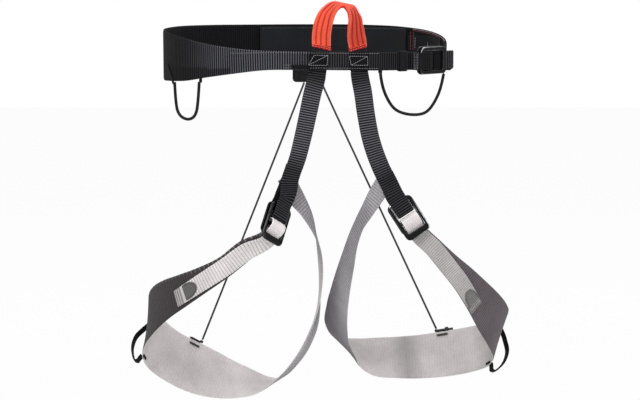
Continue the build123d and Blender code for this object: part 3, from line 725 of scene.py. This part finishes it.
def make_belt_parts():
    def cloth(name, first, last, height, width, lift, thickness, material, slot, node, columns=12, shape=None):
        ribbon = on_face([(a, height) for a in angles_between(first, last)], width, lift)
        return ribbon, strip(name, ribbon, thickness, material, slot, "waist_belt", node, pitch=0,
                             columns=columns, shape=shape)

    lining, pad = cloth("belt_lining", 41.5, 110, 3, 47, -2.4, 2.2, LINING, "belt_lining", "back_lining",
                        shape=lambda distance, v, half: -0.7 * (1 - (v / half) ** 4), columns=16)
    seams = [seam(lining, [(0.15, v), (11.85, v)], -1.3) for v in (-22, 22)]
    seams.append(seam(lining, [(11.8, -22), (11.8, 22)], -1.45))
    sew("lining_stitches", seams, 2.4, 1.0, 0.2, DARK_THREAD, "belt_lining", "waist_belt")
    cloth("label_cloth", 11, 40, 2.5, 31, -1.7, 0.8, TRIM, "label", "label_patch")

    def upper(first, last, below):
        """A seam inside the belt, below its upper edge."""
        angles = angles_between(first, last)
        return belt_seam([(a, belt.place(belt_place(a)).width / 2 - below) for a in angles], -1.0)

    def upright(angle, top, bottom):
        return belt_seam([(angle, top), (angle, bottom)], -2.2)

    red = [upper(38, 4, 3.2), upright(36.8, 20, -1), upright(38.6, 20, -1)]
    sew("label_stitches", red, 2.2, 0.8, 0.24, RED_THREAD, "label", "waist_belt")
    pale = [upper(38, 2, 1.5), upright(35.6, 14, 1), upright(26, 10, 5)]
    sew("label_edge_stitches", pale, 2.2, 0.5, 0.3, GREY_THREAD, "label", "waist_belt")
    cloth("front_tape", 265, 272, -7.7, 5, 1.5, 0.8, TRIM, "trim", "front_reinforcement")

    lower = [belt_seam([(a, v), (b, v)]) for a, b, v in ((262, 300, -7.6), (240, 300, 8.6), (262, 272, -4.6))]
    boxes = []
    for corners in (((273.9, 6.2), (279.1, 6.2), (278.9, -4.6), (271.6, -4.6)),
                    ((287.6, 5.5), (295.2, 5.5), (295.4, -4.2), (288.5, -4.2))):
        sides = ((0, 1), (1, 2), (2, 3), (3, 0), (1, 3))
        boxes += [belt_seam([corners[a], corners[b]], 1.05) for a, b in sides]
    ends = [belt_seam([(a, -9), (a, 9)], 1.1) for a in (325, 331.5, 336.5)]
    for name, lines, *sizes in (("belt_edge", lower, 1.7, 1.1, 0.2), ("box", boxes, 1.9, 0.5, 0.3),
                                ("buckle_end", ends, 2.4, 0.4, 0.2)):
        sew(name + "_stitches", lines, *sizes, GREY_THREAD, "belt_webbing", "waist_belt")


make_belt_parts()


def rounded_plate(name, outline, holes, thickness, bevel, plane, level=0.0, shine=lambda x, y: 0.0):
    """A flat plate with windows and rounded rims, from outlines in mm, at a height on a plane."""
    drawn, faces = curve_mesh(name, "POLY", [outline] + holes, {
        "dimensions": "2D", "fill_mode": "BOTH", "extrude": (thickness / 2 - bevel) * MM,
        "bevel_depth": bevel * MM, "bevel_resolution": 3, "offset": -bevel * MM}, {"use_cyclic_u": True})
    low, high = thickness / 2 - bevel * 0.98, thickness / 2 * 0.999        # the chamfer, without its edges
    # rim: how much painted highlight each chamfer point gets, as shine gives it
    rims = [shine(p.x, p.y) if low < p.z < high else 0.0 for p in drawn]
    obj = mesh_object(name, [plane.point(p.x, p.y, p.z + level) for p in drawn], faces, None, {"rim": rims})
    obj.modifiers.new("weld", "WELD").merge_threshold = 0.00002
    obj.modifiers.new("sharp", "EDGE_SPLIT").split_angle = radians(40)
    return obj


def rounded_rectangle(left, right, low, high, radius, steps=8):
    corners = ((right - radius, high - radius, 0), (left + radius, high - radius, 90),
               (left + radius, low + radius, 180), (right - radius, low + radius, 270))
    return [point for x, y, start in corners for point in arc(x, y, radius, start, start + 90, steps)]


# Each frame: half its width, its lower and upper edges, its windows and its height on the buckle's plane
FRAMES = {"waist": [(15.5, -20.5, 20.5, [(-15.0, -5.5), (-2.2, 16.8)], 0.0),
                    (15.0, -19.7, 20.3, [(-13.6, 17.4)], 4.8)],
          "leg": [(15.5, -17.5, 20.5, [(-12.2, -5.3), (-2.2, 16.8)], 0.0),
                  (15.0, -24.8, 20.3, [(-17.0, 17.4)], 4.8)]}
FRAME_THICK, FRAME_CORNER, WINDOW_HALF, WINDOW_CORNER = 2.6, 6.0, 10.7, 1.5


def make_buckle(name, kind, belt_body, slider_body, shine):
    """shine(x, y) says where, on the front frame, the chamfers get a painted highlight."""
    parts = (("rear_frame", belt_body, "frame", 0.8, lambda x, y: 0.0),
             ("front_frame", slider_body, "slider", 1.25 if kind == "leg" else 0.8, shine))
    for (half, low, high, windows, level), (piece, body, node, bevel, glint) in zip(FRAMES[kind], parts):
        holes = [rounded_rectangle(-WINDOW_HALF, WINDOW_HALF, a, b, WINDOW_CORNER) for a, b in windows]
        obj = rounded_plate(f"{name}_{piece}", rounded_rectangle(-half, half, low, high, FRAME_CORNER), holes,
                            FRAME_THICK, bevel, BUCKLES[name], level, glint)
        finish_piece(obj, METAL, "buckle", body, f"{name}_buckle_{node}")


# The waist buckle's front frame gets a painted highlight on its chamfers where x > 8 and y > 12, and a faint
# one elsewhere
make_buckle("waist", "waist", "waist_belt", "waist_slider", lambda x, y: 0.7 if x > 8 and y > 12 else 0.05)


def make_waist_tail():
    start = in_buckle(BUCKLES["waist"], [(WAIST_EXIT - below, WRAP_RADIUS) for below in (0.6, 8)], RIGHT)
    free = ((-6, -7, 5.5), (3, -9, 5.6), (12, -10.2, 5.0), (22, -10.7, 4.0))
    tail = Ribbon(start + [on_belt(angle, height, out=out) for angle, height, out in free])
    strip("waist_strap_end", tail, 1.5, BELT_WEB, "belt_webbing", "waist_tail", "waist_strap_tail",
          tone=0.35)
    hem = [seam(tail, [(s, -8), (s, 8)], 0.95) for s in (4.55, 4.75)]
    sew("waist_strap_hem", hem, 1.8, 0.8, 0.22, GREY_THREAD, "belt_webbing", "waist_tail")


make_waist_tail()


def closed_band(name, at, wide, high, thick, length, material, slot, body, node, columns=10):
    """An elastic keeper: a flat tube round a strap, wide across it and length along it; at is its frame."""
    points, uv = [], []
    around = rounded_rectangle(-wide / 2, wide / 2, -high / 2, high / 2, high * 0.32, 5)
    rings = [(0, k) for k in range(columns + 1)] + [(-thick, k) for k in reversed(range(columns + 1))]
    for skin, k in rings:
        x = -length / 2 + length * k / columns
        soft = 0.25 if k in (0, columns) else 0.0
        shrink = skin + (soft if skin else -soft)
        for y, z in around:
            points.append(at.point(y + (shrink if y > 0 else -shrink), z + (shrink if z > 0 else -shrink), x))
            uv.append(((y + z) * MM, x * MM))
    tube = tube_faces(len(rings) + 1, len(around))[:-2]
    faces = [tuple(i % len(points) for i in face) for face in tube]
    layers = {"tone": 1.0, "face_side": 1.0, "edge_mm": 2.0, "groove": 0.0}
    obj = mesh_object(name, points, faces, uv, {key: [value] * len(points) for key, value in layers.items()})
    finish_piece(obj, material, slot, body, node)


closed_band("belt_keeper_band", belt.place(belt_place(312)), 22.4, 5.0, 0.9, 12, ELASTIC, "elastic_tape",
            "belt_keeper", "strap_keeper")


def rounded_block(plane, x, y, z, bevel):
    """Points and faces of a block with rounded edges; x, y and z are its ranges on a plane."""
    ranges = [sorted(pair) for pair in (x, y, z)]
    middle, size = [(a + b) / 2 for a, b in ranges], [b - a for a, b in ranges]
    bm = bmesh.new()
    bmesh.ops.create_cube(bm, size=1.0)
    for v in bm.verts:
        v.co = Vector(c * s for c, s in zip(v.co, size))
    bmesh.ops.bevel(bm, geom=bm.edges[:], offset=bevel, segments=3, profile=0.5, affect="EDGES")
    points = [plane.point(*(c + m for c, m in zip(v.co, middle))) for v in bm.verts]
    bm.verts.index_update()
    faces = [tuple(v.index for v in f.verts) for f in bm.faces]
    bm.free()
    return points, faces


def joined(name, blocks):
    points, faces = [], []
    for more_points, more_faces in blocks:
        faces += [tuple(i + len(points) for i in face) for face in more_faces]
        points += more_points
    return mesh_object(name, points, faces)


tab_plane = Plane((4, 113.8, -27), Vector((1, 0, 0)), Vector((0, 0, 1)), Vector((0, -1, 0)))
tab = rounded_plate("back_tab_cloth", rounded_rectangle(-20, 20, -13.5, 13.5, 4.5), [], 2.4, 1.0, tab_plane)
finish_piece(tab, TAB_CLOTH, "trim", "waist_belt", "back_tab")


# Tie-in loop
def bell(x):
    """A smooth bump, 1 at 0."""
    return pow(2.718, -x ** 2)


def make_tie_in():
    """The loop's webbing comes up from behind the belt; its sleeve starts just above, with slanted ends."""
    low, end = stations_at((18.8, -107.2, 2, -1, -0.07, 0), (58.3, -100.3, 2, 0.965, 0.262, 0))
    loop = Ribbon([low] + TIE_IN + [end], offset=-1)
    core = strip("tie_in_core", loop, 2.0, TIE_WEB, "tie_in_webbing", None, "tie_in_webbing")
    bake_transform(core)

    rng = random.Random(4)
    waves = [(rng.uniform(0.08, 0.4), rng.uniform(0, 6.28), rng.uniform(-0.5, 0.5)) for _ in range(9)]
    creases = (-5.6, 0.3, 5.6)

    def folds(distance, v, half):
        dip = -0.85 * sum(bell((v - c - 0.5 * sin(distance * 0.12 + c)) / 0.75) for c in creases)
        return dip + sum(0.1 * sin(distance * a + b + v * c) for a, b, c in waves)

    # Painted shade in the sleeve's creases and past station 7; darker at the hems
    def sleeve_tone(s, v, face):
        dip = max(bell((v - c) / 0.8) for c in creases)
        hem = 0.74 if s < 0.75 or s > 11.4 else 1.0
        return (1.0 - 0.3 * dip) * (0.92 if s > 7 else 1.0) * hem

    strip("tie_in_cover", loop, 4.6, SLEEVE, "tie_in_sleeve", "tie_in_loop", "tie_in_sleeve", pitch=0,
          columns=34, span=(0.03, 12.12), step=1.0, width=20.4, shape=folds, tone=sleeve_tone,
          slant=(0.3, -0.2))
    hems = [seam(loop, [(s - lean, -9.6), (s + lean, 9.6)], 2.5)
            for s, lean in ((0.32, 0.42), (0.62, 0.42), (11.9, -0.36), (11.5, -0.36))]
    hems += [seam(loop, [(0.5, v), (11.6, v)], 2.2) for v in (-9.5, 9.5)]
    sew("sleeve_stitches", hems, 2.2, 0.6, 0.26, ORANGE_THREAD, "tie_in_sleeve", "tie_in_loop")


make_tie_in()


# Risers and leg loops
# Painted light and shade on each riser: how bright it is and how dim its top, and the x and y of its fold below
# the belt
RISER_LIGHT = {"left": (1.15, 0.25, 14, -107.5), "right": (0.95, 0.3, 60.2, -100.2)}
# Each strap's pitch, tone (lower on the right, a painted shade) and raised tip, where its flap starts and the
# flap's tone
STRAPS = {"left": (3.8, 1.0, 4.0, 16, 0.2), "right": (2.7, 0.66, 0.0, 9, 0.3)}
# Painted light and shade along the leg bands' outer and inner faces, and how much more their ribs shine at the
# side, a painted highlight
OUTER_TONE = {
    "left": table((0, 2.2), (2, 2.2), (4, 2.3), (6.5, 3.2), (8, 4.4), (9, 3.8), (9.7, 2.9), (10.5, 2.3),
                  (11.5, 2.0), (12.5, 1.0), (14, 0.36), (16, 0.26), (20, 0.3), (23, 0.42), (23.6, 0.6),
                  (24, 4.0)),
    "right": table((0, 3.0), (1.5, 2.8), (3, 2.0), (4.5, 2.2), (6, 2.8), (7, 2.9), (8.5, 1.9), (10, 1.3),
                   (12, 1.1), (14, 1.0), (17, 0.85), (21, 0.8), (23, 0.8), (23.6, 1.0), (24, 4.0)),
}
INNER_TONE = {
    "left": table((2, 0.5), (4.6, 0.5), (6, 0.95), (10, 1.0), (12, 1.08), (14, 1.0), (24, 1.0), (25.5, 1.26)),
    "right": table((9, 0.85), (11, 0.9), (11.9, 0.92), (12.5, 0.64), (13.1, 0.92), (15, 0.92), (16, 0.66),
                   (17, 0.9), (24, 1.0), (25.5, 1.22)),
}
SIDE_SHINE = {"left": 1.6, "right": 0.7}
SHINE_AT = table((15, 0), (15.6, 1), (17.2, 1), (17.8, 0))
CREST_PITCH = 6.8           # mm between the leg band's shining ribs
EDGE_SHINE = 3.2            # painted highlight: how much more the ribs shine along the left band's upper edge
EDGE_SHINE_WIDTH = 3.2      # mm


def right_buckle_glints(x, y):
    """Where the right leg buckle's front frame gets a painted highlight on its chamfers."""
    corners = (x > 11 and y < 9) or (x > 1 and y < -19) or (-12.6 < x < -9.8 and y > 0)
    return 1.0 if corners else 0.03


# Painted highlights on each leg buckle's front frame chamfers, faint on the left one
BUCKLE_GLINTS = {"left": lambda x, y: 0.05, "right": right_buckle_glints}


def make_riser(name, side):
    """One length of webbing: sewn behind the belt, then hanging with the leg and looped round the buckle."""
    hanging = Ribbon(RISERS[name], side)
    returned = []
    for place in (len(RISERS[name]) - 1.0, len(RISERS[name]) - 1.6):
        f = hanging.place(place)
        returned.append(Station(f.point(out=-2.1), WEB, f.across))
    riser = Ribbon(RISERS[name] + loop_stations(BUCKLES[name], -side) + returned, side)
    bright, dim, x, y = RISER_LIGHT[name]
    # Painted shade: dark behind and just below the belt and round the buckle, and darker on the inner face
    light = table((0, 0.4), (TACK - 0.5, dim), (TACK + 1, dim), (TACK + 2.2, 0.9), (8.6, 1.0), (9.6, 0.3))
    obj = strip(f"riser_{name}_webbing", riser, 1.6, RISER_WEB, "riser_webbing", None, f"riser_{name}",
                f"riser_tack_{name}", depth=0.32,
                tone=lambda s, v, face: bright * light(s) * (1.0 if face > 0 else 0.6))
    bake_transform(obj)


def make_strap(name, side, band):
    """The adjusting strap's free end, with a folded flap sewn on near its tip."""
    body = f"leg_tail_{name}"
    pitch, light, raised, flap_start, dim = STRAPS[name]
    found = []
    for place in (TAIL_END, 20, 21, 22, 23):
        f = band.place(place)
        rise = max(0.0, (23 - place) / (23 - TAIL_END)) * raised
        off = 2.6 if place == 23 else 2.0
        found.append(Station(f.point(rise - (f.width - WEB) / 2, off), WEB, f.across))
    strap = Ribbon(found + in_buckle(BUCKLES[name], [(-22.5, -0.9), (-20.2, 1.2), (-17.3, 2.5)], side), side)
    fold = strap.far(12)
    strip(f"strap_{name}_webbing", strap, 1.5, STRAP_WEB, "strap_webbing", body, f"leg_strap_{name}",
          pitch=pitch, depth=0.34, tone=lambda s, v, face: light * (0.5 if s < fold else 1.0))

    found = []
    for distance, width in ((0, 18), (8, 18), (12.5, 16), (16, 12.5), (19, 7.5), (20, 3)):
        place = strap.far(flap_start + distance)
        found.append(Station(strap.at(place, 0, 1.3), width, strap.place(place).across))
    flap = Ribbon(found, side)
    strip(f"strap_{name}_fold", flap, 0.9, STRAP_WEB, "strap_webbing", body, f"strap_hem_{name}", pitch=2.4,
          depth=0.25, tone=dim)
    lines = [seam(strap, [(strap.far(d), -8), (strap.far(d), 8)], 1.0) for d in (5.0, 8.0)]
    sew(f"strap_{name}_stitches", lines, 2.6, 0.3, 0.36, PALE_THREAD, "strap_webbing", body)
    half_rim = [(0.1, -7.6), (1, -7.6), (2, -6.8), (3, -5), (4, -2.6)]
    rim = half_rim + [(4.6, 0)] + [(s, -v) for s, v in reversed(half_rim)]
    sew(f"strap_{name}_fold_stitches", [seam(flap, rim, 0.6)], 1.8, 0.5, 0.3, DARK_THREAD, "trim", body)


def make_leg(name, side):
    body = f"leg_{name}"
    make_riser(name, side)
    band = Ribbon(LEG_BANDS[name] + in_buckle(BUCKLES[name], LEG_WRAP, side), side)

    # Painted light and shade, with painted highlights on the ribs at the side and along the left band's upper
    # edge
    def tone(s, v, face):
        if face <= 0:
            return INNER_TONE[name](s)
        crest = max(0.0, cos(2 * pi * band.distance(s) / CREST_PITCH)) ** 3
        light = OUTER_TONE[name](s) * (1 + SIDE_SHINE[name] * crest * SHINE_AT(s))
        if name == "left" and 18.5 < s < 23.6 and v > band.place(s).width / 2 - EDGE_SHINE_WIDTH:
            light *= 1 + EDGE_SHINE * crest
        return light

    strip(f"leg_{name}_webbing", band, 1.4, LEG_WEB, "leg_webbing", body, f"leg_band_{name}", pitch=3.4,
          depth=0.28, columns=16, tone=tone, inner=0.4)
    make_strap(name, side, band)
    make_buckle(name, "leg", body, f"{name}_slider", BUCKLE_GLINTS[name])
    plane, end = hook_place(name, band)
    make_hook(name, plane, end, body)
    make_keeper(name, side, band, body)
    make_rear_cord(name, plane, end)


def hook_place(name, band):
    """The hook's plane and its toggle's end, 1 or -1 along x.

    On the plane x runs along the band's upper edge, y away across the band and z out of its face.
    """
    edges = []
    for step in (-0.2, 0, 0.2):
        f = band.place(HOOK_AT[name] + step)
        edges.append(f.point(f.width / 2))
    at = band.place(HOOK_AT[name])
    z_dir = (edges[2] - edges[0]).cross(at.across).normalized()
    if z_dir.dot(at.out) < 0:
        z_dir = -z_dir
    plane = Plane(edges[1], at.across.cross(z_dir).normalized(), at.across, z_dir)
    return plane, (1 if plane.x.x > 0 else -1) * (1 if name == "left" else -1)


def make_hook(name, plane, end, body):
    """A moulded hook over the band's edge, with a toggle; each block is its x, y and z ranges and its bevel."""
    top, knob, reach = (2.4, 2.2, 9) if name == "left" else (3.4, 4.6, 13)
    blocks = (((-7, 7), (-7.5, top), (1.2, 3.0), 0.6), ((-5, 5), (-5.8, -4.2), (-2.0, 2.0), 0.3),
              ((-6.8, 6.8), (-6.2, -3.8), (-2.6, -1.2), 0.5), ((-7, 7), (1.0, top), (-1.0, 2.0), 0.6),
              ((-end * 7.6, -end * 3.4), (0.6, knob), (-1.6, 2.4), 0.6),
              ((-end * 4, -end * reach), (0.6, knob - 0.8), (0.8, 2.2), 0.4),
              ((end * 5.4, end * 9.6), (0.9, 4.2), (-1.4, 2.6), 1.3))
    clip = joined(f"rear_clip_{name}", [rounded_block(plane, *block) for block in blocks])
    finish_piece(clip, PLASTIC, "hook", body, f"rear_hook_{name}")


def make_keeper(name, side, band, body):
    """An elastic tape that arches over the outer face; its ends go through the band."""
    f = band.place(KEEPER_AT[name])
    plane = Plane(f.centre, f.across.cross(f.out), f.across, f.out)
    path = [(y, z - (1.2 if i in (0, len(KEEPER_PATH) - 1) else 0)) for i, (y, z) in enumerate(KEEPER_PATH)]
    tape = Ribbon([Station(plane.point(0, y, z), KEEPER_WIDTH, plane.x) for y, z in path])
    strip(f"keeper_{name}_tape", tape, 1.2, ELASTIC, "elastic_tape", body, f"leg_keeper_{name}", pitch=1.2,
          depth=0.12, columns=6)
    ends = [rounded_block(plane, (x - 4.7, x + 4.7), (y - half, y + half), (-1.35, -0.45), 0.35)
            for x, y, half in ((0, 23.6, 1.1), (-3.0 * side, -26.6, 1.5))]
    finish_piece(joined(f"keeper_{name}_ends", ends), ELASTIC, "elastic_tape", body)


# Cords
REAR_CORD, GEAR_CORD = 2.4, 3.4         # diameters, mm


def make_cord(name, route, diameter, material, slot, node, sides=16):
    path, _ = curve_mesh(name, "NURBS", [route], {"dimensions": "3D"},
                         {"order_u": 3, "use_endpoint_u": True, "resolution_u": 16})
    points, uv, side, lengths = [], [], None, running_lengths(path)
    for i, place in enumerate(path):
        along = (path[min(i + 1, len(path) - 1)] - path[max(i - 1, 0)]).normalized()
        side = side or along.orthogonal().normalized()
        side = (side - along * side.dot(along)).normalized()
        points += ring(place, side, along.cross(side), diameter / 2, sides)
        uv += [(lengths[i] * MM, k / sides) for k in range(sides)]
    obj = mesh_object(name, points, tube_faces(len(path), sides), uv)
    finish_piece(obj, material, slot, None, node)
    [tuple(p * MM) for p in path]
    return obj


def make_rear_cord(name, plane, end):
    start, finish = Vector(TAB_EXITS[name]), plane.point(end * 7.6, 5.3, 0.6)
    middle = start + (finish - start) * 0.06 + Vector((0, 0, -1.5))
    obj = make_cord(f"rear_elastic_{name}", [start, middle, finish], REAR_CORD, CORD_BRAID,
                    "elastic_cord", f"rear_cord_{name}")
    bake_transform(obj)


for leg, leg_side in (("left", LEFT), ("right", RIGHT)):
    make_leg(leg, leg_side)

for name, route in GEAR_LOOPS.items():
    cord = make_cord(f"gear_cord_{name}", route, GEAR_CORD, GEAR_BRAID, "gear_cord", f"gear_loop_{name}")
    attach(cord, f"gear_{name}")

# The tapes that hold the gear loops: a width, how far off the belt's face, and (angle, height) places
for name, width, lift, path in (("left_rear", 4.4, 1.7, [(198, -10), (202, -20), (205.5, -30)]),
                                ("left_front", 4.4, -1.6, [(224.5, -8), (224.3, -17), (224, -27)]),
                                ("right_front", 5, -1.6, [(301.3, 0), (301.3, -8), (301.3, -15)]),
                                ("right_rear", 5, -1.6, [(-8.5, -2), (-8.5, -12), (-9.5, -22)])):
    strip(f"gear_patch_{name}", on_face(path, width, lift, upright=True), 1.0, TRIM, "trim", "waist_belt",
          f"gear_anchor_{name}", pitch=1.6, depth=0.1, columns=8)


# Camera, light and floor
scene = bpy.context.scene
scene.view_settings.view_transform = "Standard"

camera = add_object("camera", bpy.data.cameras.new("camera"))
camera.location = (0.017145, -2.03545, 0.11755)
camera.rotation_euler = (radians(82), 0, 0)
camera.data.lens = 100
camera.data.sensor_width = 36
scene.camera = camera

LIT = Vector((0, 0, -0.15))     # where the lights point
LIGHTS = (("key", (-0.9, -1.6, 1.5), 1.0, 26), ("fill", (1.5, -1.2, 0.6), 1.4, 9.5),
          ("top", (0.2, 0.5, 1.8), 1.2, 12))
for name, location, size, energy in LIGHTS:
    light = add_object(name, bpy.data.lights.new(name, "AREA"))
    light.data.energy = energy
    light.data.size = size
    light.location = location
    light.rotation_mode = "QUATERNION"
    light.rotation_quaternion = (LIT - Vector(location)).to_track_quat("-Z", "Y")

WHITE = (1, 1, 1, 1)
world = bpy.data.worlds.new("studio")
scene.world = world
world.use_nodes = True
tree = Nodes(world.node_tree)
soft = tree.nodes["Background"]
tree.fill(soft, {"Color": WHITE, "Strength": 0.52})
white = tree.add("Background", {"Color": WHITE})
backdrop = tree.blend(tree.seen_directly(), soft.outputs[0], white)
tree.fill(tree.nodes["World Output"], {"Surface": backdrop})

bpy.ops.mesh.primitive_plane_add(size=10, location=(0, 0, -0.50))
floor = bpy.context.object
floor.name = "floor"
floor_look = Look("floor")
matt = floor_look.nodes["Principled BSDF"]
floor_look.fill(matt, {"Base Color": (0.85, 0.85, 0.85, 1), "Roughness": 0.9, "Specular IOR Level": 0.0})
glow = floor_look.add("Emission", {"Color": WHITE})
pale = floor_look.blend(0.95, matt.outputs[0], glow)
shown = floor_look.blend(floor_look.seen_directly(), matt.outputs[0], pale)
floor_look.fill(floor_look.nodes["Material Output"], {"Surface": shown})
floor.data.materials.append(floor_look.material)
floor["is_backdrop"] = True

low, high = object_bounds()
sizes = {"cad": [list(v) for v in cad_box], "visual": [list(v) for v in (low, high)]}
print(sizes)
